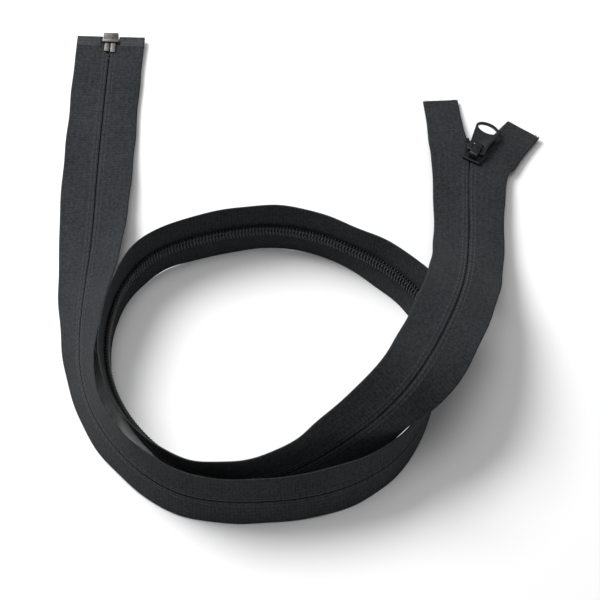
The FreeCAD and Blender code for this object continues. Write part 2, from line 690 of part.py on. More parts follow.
def build_pawl():
    """Spring leaf over the crossbar, a leg that it stands on, and a tooth through the wing."""
    clearance = "Sizes.part_clearance"
    start = f"Sizes.cap_start + Sizes.cap_foot + {clearance}"
    length = f"Sizes.cap_length - 2 * Sizes.cap_foot - 2 * {clearance}"
    leaf = block("pawl_leaf", "Sizes.pawl_width", length, "Sizes.pawl_thickness",
                 "-Sizes.pawl_width / 2", start, f"{WING_TOP} + Sizes.pawl_height")
    leg = block("pawl_leg", "Sizes.pawl_width", "Sizes.pawl_thickness",
                f"Sizes.pawl_height + Sizes.pawl_thickness - {clearance}",
                "-Sizes.pawl_width / 2",
                f"Sizes.cap_start + Sizes.cap_length - Sizes.cap_foot - {clearance}"
                " - Sizes.pawl_thickness", f"{WING_TOP} + {clearance}")
    tooth = block("pawl_tooth", "Sizes.pawl_width", "Sizes.pawl_tooth_length",
                  "Sizes.pawl_height + Sizes.pawl_thickness + Sizes.wing_thickness",
                  "-Sizes.pawl_width / 2", start, "Sizes.upper_gap")
    part = fuse("lock_pawl", [leaf, leg, tooth])
    part.Placement = SLIDER_PLACE
    keep(part, "lock_pawl")


PULL_PLATE = mirrored([("pull_leg_half", "0"), ("pull_leg_half", "pull_window_length"),
                       ("pull_ring_half", "pull_eye_at")])


def build_pull_tab():
    """Plate with a window for the cap, a crossbar in the window and an oval eye at the tip."""
    body = doc.addObject("PartDesign::Body", "pull_plate")
    plate = bound_sketch(body, "pull_outline", [PULL_PLATE], "-Sizes.pull_thickness / 2")
    pad(body, "pull_blade", plate, "Sizes.pull_thickness")
    ring = oval("pull_ring", "Sizes.pull_ring_half", "Sizes.pull_ring_depth", "Sizes.pull_thickness")
    eye = oval("pull_eye", "Sizes.eye_half_width", "Sizes.eye_half_length", "Sizes.pull_thickness + 2")
    window = block("pull_window", "2 * Sizes.pull_window_half",
                   "Sizes.pull_window_length + Sizes.pull_bar_radius + 1",
                   "Sizes.pull_thickness + 2", "-Sizes.pull_window_half",
                   "-Sizes.pull_bar_radius - 1", "-Sizes.pull_thickness / 2 - 1")
    bar = doc.addObject("Part::Cylinder", "pull_crossbar")
    bar.setExpression("Radius", "Sizes.pull_bar_radius")
    bar.setExpression("Height", "2 * Sizes.pull_leg_half")
    bar.setExpression(".Placement.Base.x", "-Sizes.pull_leg_half")
    bar.Placement.Rotation = Rotation(Vector(0, 1, 0), 90)
    blank = fuse("pull_blank", [body, ring])
    opened = cut("pull_opened", cut("pull_windowed", blank, window), eye)
    part = fuse("pull_tab", [opened, bar])
    pivot = Vector(0, size("pull_pivot_at"),
                   size("upper_gap") + size("wing_thickness") + size("pull_pivot_height"))
    lift = Placement(pivot, Rotation(Vector(1, 0, 0), size("pull_rest_angle")))
    part.Placement = SLIDER_PLACE * lift
    keep(part, "pull_tab")


def oval(name, half_width, half_length, height):
    """Oval plate around the middle of the pull tab's eye."""
    outline = doc.addObject("Part::Ellipse", f"{name}_outline")
    outline.setExpression("MajorRadius", half_width)
    outline.setExpression("MinorRadius", half_length)
    outline.setExpression(".Placement.Base.y", "Sizes.pull_eye_at")
    outline.setExpression(".Placement.Base.z", f"-({height}) / 2")
    plate = doc.addObject("Part::Extrusion", name)
    plate.Base = outline
    plate.DirMode = "Custom"
    plate.Dir = Vector(0, 0, 1)
    plate.Solid = True
    plate.setExpression("LengthFwd", height)
    return plate


def build_top_stops():
    """U-shaped metal stops around the tape edges, just above the slider's nose."""
    half = size("stop_slot") / 2
    wall = size("stop_wall")
    reach = size("stop_width")
    length = size("stop_length")
    for side in (LEFT, RIGHT):
        (a, b), (c, d) = top_sections(side)[2:4]
        normals = section_normals(top_sections(side), side)[2:4]
        shares = [size("stop_share"), size("stop_share") + length / (c - a).Length]
        outer = []
        slot = []
        for share in shares:
            inner_edge = a + (c - a) * share
            selvedge = b + (d - b) * share
            across = (selvedge - inner_edge).normalize()
            out = (normals[0] * (1 - share) + normals[1] * share).normalize()
            outer.append(section(inner_edge, across, out, -wall - 0.1, reach,
                                 -half - wall - size("stop_back"), half + wall))
            slot.append(section(inner_edge, across, out, -0.1, reach + 1, -half, half))
        stop = Part.makeLoft(outer, True, True).cut(Part.makeLoft(slot, True, True))
        feature(f"{side_name(side)}_top_stop", stop)


build_tapes()
build_coils_and_cords()
build_stitches()
build_films()
build_retainer_box()
build_pin("retainer_pin", RIGHT, "retainer_pin_reach")
build_pin("insertion_pin", LEFT, "insertion_pin_reach")
build_slider_body()
build_slider_cap()
build_pawl()
build_pull_tab()
build_top_stops()
doc.recompute()

for item in doc.Objects:
    if "Invalid" in item.State or "Error" in item.State:
        sys.exit(f"{item.Label} failed: {item.State}")
for item in nodes:
    if item.Shape.isNull() or not item.Shape.isValid() or item.Shape.Volume <= 0:
        sys.exit(f"{item.Label} has no valid shape")

os.makedirs("parts", exist_ok=True)
for item in nodes:
    item.Shape.exportStep(f"parts/{item.Label}.step")
    box = item.Shape.BoundBox
    print(f"{item.Label}: {len(item.Shape.Solids)} solid, {item.Shape.Volume:.2f} mm3,"
          f" {box.XMin:.1f} {box.YMin:.1f} {box.ZMin:.2f} to {box.XMax:.1f} {box.YMax:.1f} {box.ZMax:.1f}")
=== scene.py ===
import json
import math

import bmesh
import bpy
import numpy as np
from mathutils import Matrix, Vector

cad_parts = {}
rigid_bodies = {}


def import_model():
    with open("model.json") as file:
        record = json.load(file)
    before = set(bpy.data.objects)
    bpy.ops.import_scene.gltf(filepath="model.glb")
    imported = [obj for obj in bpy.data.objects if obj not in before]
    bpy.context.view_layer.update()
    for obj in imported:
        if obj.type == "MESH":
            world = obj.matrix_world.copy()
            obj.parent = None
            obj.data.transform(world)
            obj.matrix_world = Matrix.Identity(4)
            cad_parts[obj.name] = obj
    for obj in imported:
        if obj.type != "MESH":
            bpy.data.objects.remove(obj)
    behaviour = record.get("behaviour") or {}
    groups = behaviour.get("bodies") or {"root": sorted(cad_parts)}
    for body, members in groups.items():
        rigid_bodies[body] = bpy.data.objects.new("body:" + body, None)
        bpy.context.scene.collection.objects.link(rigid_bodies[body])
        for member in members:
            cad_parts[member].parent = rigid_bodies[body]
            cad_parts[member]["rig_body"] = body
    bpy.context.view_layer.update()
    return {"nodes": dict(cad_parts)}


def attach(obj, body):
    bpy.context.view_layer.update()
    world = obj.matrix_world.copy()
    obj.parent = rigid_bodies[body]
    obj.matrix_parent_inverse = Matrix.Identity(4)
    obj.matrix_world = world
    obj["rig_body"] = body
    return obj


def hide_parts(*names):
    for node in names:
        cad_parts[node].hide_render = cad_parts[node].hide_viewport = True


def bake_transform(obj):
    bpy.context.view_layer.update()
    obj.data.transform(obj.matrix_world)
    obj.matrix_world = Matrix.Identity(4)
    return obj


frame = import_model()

# Open-end coil zipper on its edge in a loop: woven tapes, coils, stitching, box, pins, slider and pull.
# Work is done in millimetres and scaled to metres when a mesh is made.

MM = 0.001
LEFT = 1
RIGHT = -1
SIDES = ((LEFT, "left"), (RIGHT, "right"))

# ---------------------------------------------------------------- sizes, in millimetres

TAPE_WIDTH = 16.0
TAPE_HALF_THICKNESS = 0.28
CHAIN_GAP = 0.12
TAPE_ROW_STEP = 1.4
TAPE_COLUMNS = 16
SPLIT_STATION = 29.0
BOX_NOTCH = (3.95, 4.35)
PIN_NOTCH = (1.35, 10.1)
COIL_START = 10.2
COIL_PITCH = 1.5
COIL_TURN_POINTS = 12
FILAMENT_RADIUS = 0.33
COIL_MIDDLE = 1.2
COIL_HALF_WIDTH = 1.7
COIL_MIDDLE_DEPTH = -1.38
COIL_HALF_DEPTH = 0.68
CORD_RADIUS = 0.34
STITCH_LENGTH = 2.1
STITCH_STEP = 2.6
STITCH_ROWS = (("inner", 1.15), ("outer", 2.75))
FILM_LENGTH = 5.7
FILM_START = 4.4
CROSSED_STATION = 12.7
CROSSING_STATION = 26.0
FOLD_LINE = 3.6
FOLD_SOFTNESS = 1.2
NOTCH_STEP = 0.02
COLUMN_CROWDING = 0.06
EDGE_THINNING = 0.55
STITCH_END_GAP = 2.0
STITCH_HALF_WIDTH = 0.1
STITCH_SLANT = 0.12
STITCH_LIFT = 0.08
STITCH_PROFILE = ((0.0, 0.02), (0.12, 0.08), (0.5, 0.12), (0.88, 0.08), (1.0, 0.02))
COIL_PAST_POST = 1.0
COIL_LEAN = 0.22
COIL_SQUARENESS = 0.8
COIL_SIDES = 6
CORD_SIDES = 8
CORD_STEP = 1.5
FILM_THICKNESS = 0.1
FILM_CLEARANCE = 0.01
FILM_PAST_END = 0.15
FILM_PAST_SELVEDGE = 0.05
FILM_ROWS = 9
FILM_COLUMNS = 12
FILM_JAG = (0.12, 2.9)

# Rounded rises across the tape, each by where it is highest, how wide it is and how high.
COIL_RIDGE = (1.7, 1.3, 0.12)
SELVEDGE_BEAD = (TAPE_WIDTH - 0.7, 0.6, 0.1)

# Waves along the tape: height, length over a full turn's radians and multiple of the phase.
RIPPLES = ((0.42, 11.3, 1), (0.3, 6.1, 2), (0.2, 3.7, 3), (0.55, 23.0, 5))
RIPPLE_PHASE = {LEFT: 0.7, RIGHT: 2.1}
RIPPLE_SHARE = 0.6
RIPPLE_POWER = 2.2
SCALLOPS = ((0.16, 4.3, 1), (0.22, 13.7, 2))
SCALLOP_PHASE = {LEFT: 1.3, RIGHT: 0.2}
SCALLOP_FROM = 0.8
SCALLOP_GAIN = 5
SCALLOP_FADE = 20

# Where the tape lies still: place, length over which the waves grow from there, least share left.
STILL_AT_BOX = (14, 40, 0.12)
STILL_AT_SLIDER = (45, 30, 0.15)
STILL_AT_CROSSING = (1.2, 1.5)

# The route of the middle of the chain: x, y, height and roll, from the box end to the hinge line.
ROUTE = [
    (-91, 122, 2.5, 0), (-92, 94, 2.5, 0), (-93, 65, 2.8, 1), (-93.5, 35, 3.8, 7),
    (-93.7, 6.8, 6.1, 21), (-94.8, -21.7, 10.3, 39), (-94.8, -50.6, 13.8, 58), (-88.5, -79.7, 15.5, 74),
    (-71, -104.6, 15.8, 78), (-47, -119.6, 15.8, 79), (-18, -122.3, 15.8, 79), (10.7, -118.2, 15.8, 78),
    (37.9, -103.6, 16, 85), (54.9, -77.5, 16, 94), (61.1, -48.4, 15.4, 107), (47, -21, 15.6, 105),
    (22, -2.8, 16, 97), (-8, 7.3, 16, 94), (-39, 4.3, 16, 95), (-67.5, -8, 16, 94),
    (-82.3, -33.8, 16, 91), (-82.5, -64.7, 16, 97), (-68.7, -91.4, 15.8, 100), (-45, -109.6, 16, 95),
    (-16, -114.6, 19.5, 76), (11.7, -104.9, 27.6, 66), (35.9, -93, 46.5, 41), (53.4, -67.8, 44.7, 18),
    (65.9, -37.6, 36.1, 14), (71.6, -11.6, 20.1, 9), (74, 10, 11, 8),
]
RIGHT_FOLD = {26: 27}
MOUTH = np.array([76.4, 48.0, 6.3])
LEFT_TAIL = [((75.8, 63, 4.4), (57.6, 63, 5.2)), ((74.1, 74, 3), (57.4, 74, 3.4)),
             ((72.9, 86, 1.6), (56.2, 85.5, 1.2))]
RIGHT_TAIL = [((84.5, 60, 4.2), (99.4, 50.4, 3.2)), ((90, 67, 3.8), (104.2, 57.2, 2.8)),
              ((95.3, 73.2, 3), (109.3, 64.2, 2.2))]
MOUTH_SELVEDGES = {LEFT: (58.8, 50.8), RIGHT: (93.8, 42.6)}
NOSE_SELVEDGES = {LEFT: (57.9, 58), RIGHT: (96.8, 46.4)}
SLIDER_SKEW = 22.0
POST_SIDE = 1.7
POST_AT = 7.6
KEYS_IN_SLIDER_PLANE = 3
FINE_STEPS = 60


# ---------------------------------------------------------------- the route as a smooth curve

def unit(v):
    v = np.asarray(v, float)
    return v / np.linalg.norm(v, axis=-1, keepdims=True)


def spline_slopes(values, last_slope):
    """Slopes of a uniform cubic spline, free at its first point and held at its last."""
    count = len(values)
    upper = [0.5]
    right = [1.5 * (values[1] - values[0])]
    for i in range(1, count - 1):
        divisor = 4 - upper[-1]
        right.append((3 * (values[i + 1] - values[i - 1]) - right[-1]) / divisor)
        upper.append(1 / divisor)
    slopes = [last_slope]
    for i in range(count - 2, -1, -1):
        slopes.insert(0, right[i] - upper[i] * slopes[0])
    return slopes


STATIONS = np.array(ROUTE, float)
LAST = len(ROUTE) - 1
HINGE = STATIONS[-1, :3]
END_DIRECTION = unit(MOUTH - HINGE)
LAST_SLOPES = [*(END_DIRECTION * np.linalg.norm(HINGE - STATIONS[-2, :3])), 0, 0]
FOLDS = np.array([RIGHT_FOLD.get(i, 0) for i in range(len(ROUTE))], float)
COLUMNS = np.column_stack([STATIONS, FOLDS])
SLOPES = np.column_stack([spline_slopes(list(COLUMNS[:, i]), LAST_SLOPES[i]) for i in range(5)])


def route_values(t):
    """x, y, height, roll and fold at the given station numbers, and their slopes."""
    t = np.atleast_1d(np.asarray(t, float))
    i = np.clip(t.astype(int), 0, LAST - 1)
    f = (t - i)[:, None]
    a, b, m, n = COLUMNS[i], COLUMNS[i + 1], SLOPES[i], SLOPES[i + 1]
    value = (a * (1 + 2 * f) * (1 - f) ** 2 + m * f * (1 - f) ** 2
             + b * f * f * (3 - 2 * f) + n * f * f * (f - 1))
    slope = 6 * f * (f - 1) * (a - b) + m * (1 - f) * (1 - 3 * f) + n * f * (3 * f - 2)
    return value, slope


def across_and_out(direction, roll):
    """Directions towards the left tape and out of the smooth side."""
    level = unit(np.cross([0, 0, 1], direction))
    rise = np.cross(direction, level)
    angle = np.radians(roll)[..., None]
    across = level * np.cos(angle) + rise * np.sin(angle)
    return across, np.cross(direction, across)


# Distance along the chain for every station number, so that rows and turns are evenly spaced.
FINE = np.linspace(0, LAST, LAST * FINE_STEPS + 1)
FINE_POINTS = route_values(FINE)[0][:, :3]
FINE_DISTANCE = np.concatenate([[0], np.cumsum(np.linalg.norm(np.diff(FINE_POINTS, axis=0), axis=1))])
# CHAIN_LENGTH runs to the hinge line; the modelled cloth is split a little below it.
CHAIN_LENGTH = FINE_DISTANCE[-1]
SPLIT_AT = float(np.interp(SPLIT_STATION, FINE, FINE_DISTANCE))


def lower_rows(side, distance, fold_share=0.0):
    """Inner tape edge, direction across and direction out, below the hinge."""
    t = np.interp(distance, FINE_DISTANCE, FINE)
    value, slope = route_values(t)
    along = unit(slope[:, :3])
    roll = value[:, 3] + (value[:, 4] * fold_share if side == RIGHT else 0)
    across, out = across_and_out(along, roll)
    return value[:, :3], across * side, out


END_ACROSS, END_OUT = across_and_out(END_DIRECTION, np.array(STATIONS[-1, 3]))
SKEW = math.radians(SLIDER_SKEW)
SLIDER_ALONG = END_DIRECTION * math.cos(SKEW) - END_ACROSS * math.sin(SKEW)
SLIDER_RIGHT = np.cross(SLIDER_ALONG, END_OUT)


def on_slider_plane(x, y):
    drop = ((x - MOUTH[0]) * END_OUT[0] + (y - MOUTH[1]) * END_OUT[1]) / END_OUT[2]
    return np.array([x, y, MOUTH[2] - drop])


def top_keys(side):
    """Inner and outer points of one tape from the hinge to the cut end, and directions out of it."""
    across = END_ACROSS * side
    post = MOUTH + SLIDER_RIGHT * (-side * POST_SIDE) + SLIDER_ALONG * POST_AT
    inner = [HINGE, MOUTH, post]
    outer = [HINGE + across * TAPE_WIDTH, on_slider_plane(*MOUTH_SELVEDGES[side]),
             on_slider_plane(*NOSE_SELVEDGES[side])]
    for a, b in (LEFT_TAIL if side == LEFT else RIGHT_TAIL):
        inner.append(np.array(a, float))
        outer.append(np.array(b, float))
    inner, outer = np.array(inner), np.array(outer)
    middle = (inner + outer) / 2
    outs = []
    for i in range(len(inner)):
        if i < KEYS_IN_SLIDER_PLANE:
            outs.append(END_OUT)
            continue
        along = middle[min(i + 1, len(inner) - 1)] - middle[i - 1]
        outs.append(unit(np.cross(along, outer[i] - inner[i])) * side)
    return inner, outer, np.array(outs)


TOP = {side: top_keys(side) for side in (LEFT, RIGHT)}
TOP_DISTANCE = {}
for side in (LEFT, RIGHT):
    spans = np.linalg.norm(np.diff(TOP[side][0], axis=0), axis=1)
    TOP_DISTANCE[side] = CHAIN_LENGTH + np.concatenate([[0], np.cumsum(spans)])


def smooth_between(at, keys, where, first_slope):
    """Points of a curve through the keys, with a given slope at its start."""
    slopes = np.empty_like(keys)
    slopes[1:-1] = (keys[2:] - keys[:-2]) / (at[2:] - at[:-2])[:, None]
    slopes[0] = first_slope
    slopes[-1] = (keys[-1] - keys[-2]) / (at[-1] - at[-2])
    i = np.clip(np.searchsorted(at, where, side="right") - 1, 0, len(at) - 2)
    span = (at[i + 1] - at[i])[:, None]
    f = (where - at[i])[:, None] / span
    return (keys[i] * (1 + 2 * f) * (1 - f) ** 2 + slopes[i] * span * f * (1 - f) ** 2
            + keys[i + 1] * f * f * (3 - 2 * f) + slopes[i + 1] * span * f * f * (f - 1))


def strip_rows(side, distance):
    """Inner edge, direction across, direction out and width of one tape at any distance."""
    distance = np.asarray(distance, float)
    below = distance <= CHAIN_LENGTH
    inner = np.empty((len(distance), 3))
    across = np.empty((len(distance), 3))
    out = np.empty((len(distance), 3))
    width = np.full(len(distance), TAPE_WIDTH)
    if below.any():
        inner[below], across[below], out[below] = lower_rows(side, distance[below])
    if (~below).any():
        at = TOP_DISTANCE[side]
        where = distance[~below]
        keys_in, keys_out, keys_normal = TOP[side]
        a = smooth_between(at, keys_in, where, END_DIRECTION)
        b = smooth_between(at, keys_out, where, END_DIRECTION)
        inner[~below] = a
        across[~below] = unit(b - a)
        width[~below] = np.linalg.norm(b - a, axis=1)
        out[~below] = unit(smooth_between(at, keys_normal, where, np.zeros(3)))
    return inner, across, out, width


TAPE_END = {side: TOP_DISTANCE[side][-1] for side in (LEFT, RIGHT)}
COIL_END = {side: TOP_DISTANCE[side][2] + COIL_PAST_POST for side in (LEFT, RIGHT)}


def waves(table, distance, phase):
    """Sum of sine waves along the tape."""
    total = 0.0
    for height, length, multiple in table:
        total = total + height * np.sin(distance / length + multiple * phase)
    return total


def rise(u, shape):
    """Height of a rounded ridge at u millimetres from the chain."""
    at, width, height = shape
    return np.exp(-((u - at) / width) ** 2) * height


def ripple(side, distance, share):
    """How far the tape's selvedge waves out of its smooth side."""
    wave = waves(RIPPLES, distance, RIPPLE_PHASE[side])
    still, growth, least = STILL_AT_BOX
    near_box = np.clip((distance - still) / growth, least, 1)
    still, growth, least = STILL_AT_SLIDER
    free = np.clip(np.abs(distance - CHAIN_LENGTH - still) / growth, least, 1)
    station = np.interp(distance, FINE_DISTANCE, FINE)
    crossing = np.minimum(np.abs(station - CROSSED_STATION), np.abs(station - CROSSING_STATION))
    still, growth = STILL_AT_CROSSING
    clear = np.clip((crossing - still) / growth, 0, 1)
    return wave * RIPPLE_SHARE * near_box * free * clear * share ** RIPPLE_POWER


def edge_scallop(side, distance):
    """Small waves of the selvedge in the tape's own plane."""
    return waves(SCALLOPS, distance, SCALLOP_PHASE[side])


# ---------------------------------------------------------------- meshes

def linked_object(name, data, smooth=False):
    """New object with the given data, in the scene."""
    if smooth:
        data.shade_smooth()
    obj = bpy.data.objects.new(name, data)
    bpy.context.scene.collection.objects.link(obj)
    return obj


def new_object(name, verts, faces, uvs):
    """Smooth mesh object from points in millimetres; uvs holds one pair per vertex."""
    mesh = bpy.data.meshes.new(name)
    mesh.from_pydata((np.asarray(verts) * MM).tolist(), [], [list(f) for f in faces])
    mesh.validate()
    layer = mesh.uv_layers.new(name="weave")
    loop_verts = np.empty(len(mesh.loops), int)
    mesh.loops.foreach_get("vertex_index", loop_verts)
    layer.data.foreach_set("uv", np.asarray(uvs, float)[loop_verts].ravel())
    return linked_object(name, mesh, smooth=True)


def fix_normals(obj):
    mesh = bmesh.new()
    mesh.from_mesh(obj.data)
    bmesh.ops.recalc_face_normals(mesh, faces=mesh.faces)
    mesh.to_mesh(obj.data)
    mesh.free()


def inner_limit(distance):
    """Where a tape's inner edge lies: the notches for the pins and the box move it outward."""
    limit = np.full(len(distance), CHAIN_GAP)
    limit[distance < PIN_NOTCH[1]] = PIN_NOTCH[0]
    limit[distance < BOX_NOTCH[1]] = BOX_NOTCH[0]
    return limit


def tape_surface(side, distance, u, lift):
    """Points of a tape at given distances, at u millimetres from the chain, lifted off its middle."""
    inner, across, out, width = strip_rows(side, distance)
    folded, lifted = across.copy(), out.copy()
    below = distance <= CHAIN_LENGTH
    turned = np.clip((u - FOLD_LINE + FOLD_SOFTNESS) / (2 * FOLD_SOFTNESS), 0, 1)
    if side == RIGHT and below.any():
        folded[below] = lower_rows(side, distance[below], 1.0)[1]
        lifted[below] = lower_rows(side, distance[below], turned[below])[2]
    share = u / TAPE_WIDTH
    wave = ripple(side, distance, share)
    scale = width / TAPE_WIDTH
    outermost = np.clip(share - SCALLOP_FROM, 0, 1) * SCALLOP_GAIN
    swing = edge_scallop(side, distance) * outermost * np.clip(distance / SCALLOP_FADE, 0, 1)
    near = np.minimum(u, FOLD_LINE) * scale
    far = np.maximum(u - FOLD_LINE, 0) * scale + swing
    return inner + across * near[:, None] + folded * far[:, None] + lifted * (wave + lift)[:, None]


def tape_piece(name, side, first, last):
    """Closed thin woven strip with a thicker selvedge and a slight ridge over the coil."""
    count = int((last - first) / TAPE_ROW_STEP) + 1
    distance = np.linspace(first, last, count)
    if first == 0:
        steps = [PIN_NOTCH[1], BOX_NOTCH[1]]
        extra = [value for step in steps for value in (step - NOTCH_STEP, step + NOTCH_STEP)]
        distance = np.sort(np.concatenate([distance, extra]))
    rows = len(distance)
    columns = TAPE_COLUMNS
    shares = np.linspace(0, 1, columns)
    shares = shares - COLUMN_CROWDING * np.sin(2 * math.pi * shares)
    low = inner_limit(distance)
    ring = 2 * columns
    verts = np.empty((rows, ring, 3))
    uvs = np.empty((rows, ring, 2))
    for j, share in enumerate(shares):
        u = low + (TAPE_WIDTH - low) * share
        selvedge = rise(u, SELVEDGE_BEAD)
        thin = EDGE_THINNING if share in (0.0, 1.0) else 1.0
        top = TAPE_HALF_THICKNESS * thin + rise(u, COIL_RIDGE) + selvedge
        bottom = -TAPE_HALF_THICKNESS * thin - selvedge
        verts[:, j] = tape_surface(side, distance, u, top)
        verts[:, ring - 1 - j] = tape_surface(side, distance, u, bottom)
        uvs[:, j] = np.column_stack([u, distance])
        uvs[:, ring - 1 - j] = np.column_stack([u, distance])
    faces = []
    for i in range(rows - 1):
        for j in range(ring):
            k = (j + 1) % ring
            faces.append((i * ring + j, i * ring + k, (i + 1) * ring + k, (i + 1) * ring + j))
    for i in (0, rows - 1):
        for j in range(columns - 1):
            k = ring - 1 - j
            faces.append((i * ring + j, i * ring + j + 1, i * ring + k - 1, i * ring + k))
    obj = new_object(name, verts.reshape(-1, 3), faces, uvs.reshape(-1, 2))
    fix_normals(obj)
    # The end faces keep their own shading, so that the lower and upper tapes meet without a line.
    final_row = (rows - 1) * ring
    for edge in obj.data.edges:
        a, b = edge.vertices
        edge.use_edge_sharp = max(a, b) < ring or min(a, b) >= final_row
    return obj


def tube_mesh(points, side_vectors, up_vectors, radius, sides):
    """Vertices and faces of a capped tube around given points."""
    angles = np.arange(sides) * 2 * math.pi / sides
    ring = (side_vectors[:, None, :] * np.cos(angles)[None, :, None]
            + up_vectors[:, None, :] * np.sin(angles)[None, :, None]) * radius
    verts = (points[:, None, :] + ring).reshape(-1, 3)
    faces = []
    for i in range(len(points) - 1):
        for j in range(sides):
            k = (j + 1) % sides
            faces.append((i * sides + j, i * sides + k, (i + 1) * sides + k, (i + 1) * sides + j))
    faces.append(tuple(range(sides)))
    faces.append(tuple((len(points) - 1) * sides + j for j in reversed(range(sides))))
    return verts, faces


def coil_points(side, turns):
    """Middle of the filament: a flattened helix with its heads over the middle of the chain."""
    angle = turns * 2 * math.pi
    # Each turn runs straight across the chain on both legs and steps along at its outer end.
    lean = COIL_LEAN * COIL_PITCH * np.sin(angle)
    distance = turns * COIL_PITCH + lean
    flat = np.cos(angle)
    u = COIL_MIDDLE + COIL_HALF_WIDTH * np.sign(flat) * np.abs(flat) ** COIL_SQUARENESS * -1
    n = COIL_MIDDLE_DEPTH + COIL_HALF_DEPTH * np.sin(angle)
    inner, across, out, width = strip_rows(side, distance)
    return inner + across * u[:, None] + out * n[:, None]


def coil_piece(name, side, first, last):
    """Coil of one side; the right coil stands half a turn along from the left."""
    shift = 0.0 if side == LEFT else 0.5
    start = math.ceil(first / COIL_PITCH) + shift
    end = math.floor(last / COIL_PITCH) - 1 + shift
    turns = np.linspace(start, end, int((end - start) * COIL_TURN_POINTS) + 1)
    points = coil_points(side, turns)
    along = unit(np.gradient(points, axis=0))
    inner, across, out, width = strip_rows(side, turns * COIL_PITCH)
    # The filament never runs along the chain, so the chain's direction sets how each ring is turned.
    chain = unit(np.gradient(inner, axis=0))
    one = unit(np.cross(along, chain) + out * 1e-6)
    two = np.cross(along, one)
    verts, faces = tube_mesh(points, one, two, FILAMENT_RADIUS, COIL_SIDES)
    uvs = np.repeat(np.column_stack([turns * COIL_TURN_POINTS, turns]), COIL_SIDES, axis=0)
    return new_object(name, verts, faces, uvs)


def cord_piece(name, side, first, last):
    """Cord inside the coil of one side."""
    distance = np.linspace(first, last, int((last - first) / CORD_STEP) + 2)
    inner, across, out, width = strip_rows(side, distance)
    points = inner + across * COIL_MIDDLE + out * COIL_MIDDLE_DEPTH
    verts, faces = tube_mesh(points, across, out, CORD_RADIUS, CORD_SIDES)
    uvs = np.repeat(np.column_stack([distance, distance]), CORD_SIDES, axis=0)
    return new_object(name, verts, faces, uvs)


def stitch_row(name, side, u, first, last):
    """Row of short raised stitches on the smooth side, each a low rounded bead."""
    verts, faces, uvs = [], [], []
    count = int((last - first) / STITCH_STEP)
    for i in range(count):
        start = first + i * STITCH_STEP
        base = len(verts)
        for share, height in STITCH_PROFILE:
            half = STITCH_HALF_WIDTH + STITCH_HALF_WIDTH * math.sin(math.pi * share)
            distance = np.array([start + share * STITCH_LENGTH])
            slant = STITCH_SLANT * (share - 0.5) * side
            for across, lift in ((-half, 0.0), (-half * 0.6, height), (half * 0.6, height), (half, 0.0)):
                at = np.array([u + across + slant])
                lifted = TAPE_HALF_THICKNESS + STITCH_LIFT + lift
                verts.append(tape_surface(side, distance, at, lifted)[0])
                uvs.append((across * 4, share * STITCH_LENGTH))
        for k in range(len(STITCH_PROFILE) - 1):
            for j in range(4):
                a = base + 4 * k + j
                b = base + 4 * k + (j + 1) % 4
                faces.append((a, b, b + 4, a + 4))
        faces.append((base, base + 1, base + 2, base + 3))
        end = base + 4 * (len(STITCH_PROFILE) - 1)
        faces.append((end + 3, end + 2, end + 1, end))
    obj = new_object(name, verts, faces, uvs)
    fix_normals(obj)
    return obj


def film_piece(name, side, face):
    """Stiff film pressed into the weave at the cut end, on one face of the tape."""
    lengths = np.linspace(-FILM_PAST_END, FILM_LENGTH, FILM_ROWS)
    columns = np.linspace(FILM_START, TAPE_WIDTH + FILM_PAST_SELVEDGE, FILM_COLUMNS)
    jag_depth, jag_rate = FILM_JAG
    verts, faces, uvs = [], [], []
    near = TAPE_HALF_THICKNESS + FILM_CLEARANCE
    far = near + FILM_THICKNESS
    for depth in (near, far):
        for i, distance in enumerate(lengths):
            for u in columns:
                jag = jag_depth * math.sin(u * jag_rate + side) if i == len(lengths) - 1 else 0.0
                at = np.array([distance + jag])
                lift = face * (depth + rise(u, SELVEDGE_BEAD))
                verts.append(tape_surface(side, at, np.array([u]), lift)[0])
                uvs.append((u, distance))
    rows, wide = len(lengths), len(columns)
    layer = rows * wide
    for i in range(rows - 1):
        for j in range(wide - 1):
            a = i * wide + j
            faces.append((a, a + 1, a + wide + 1, a + wide))
            faces.append((a + layer, a + wide + layer, a + wide + 1 + layer, a + 1 + layer))
    border = (list(range(wide)) + [i * wide + wide - 1 for i in range(1, rows)]
              + [(rows - 1) * wide + j for j in range(wide - 2, -1, -1)]
              + [i * wide for i in range(rows - 2, 0, -1)])
    for a, b in zip(border, border[1:] + border[:1]):
        faces.append((a, b, b + layer, a + layer))
    obj = new_object(name, verts, faces, uvs)
    fix_normals(obj)
    return obj


# ---------------------------------------------------------------- materials

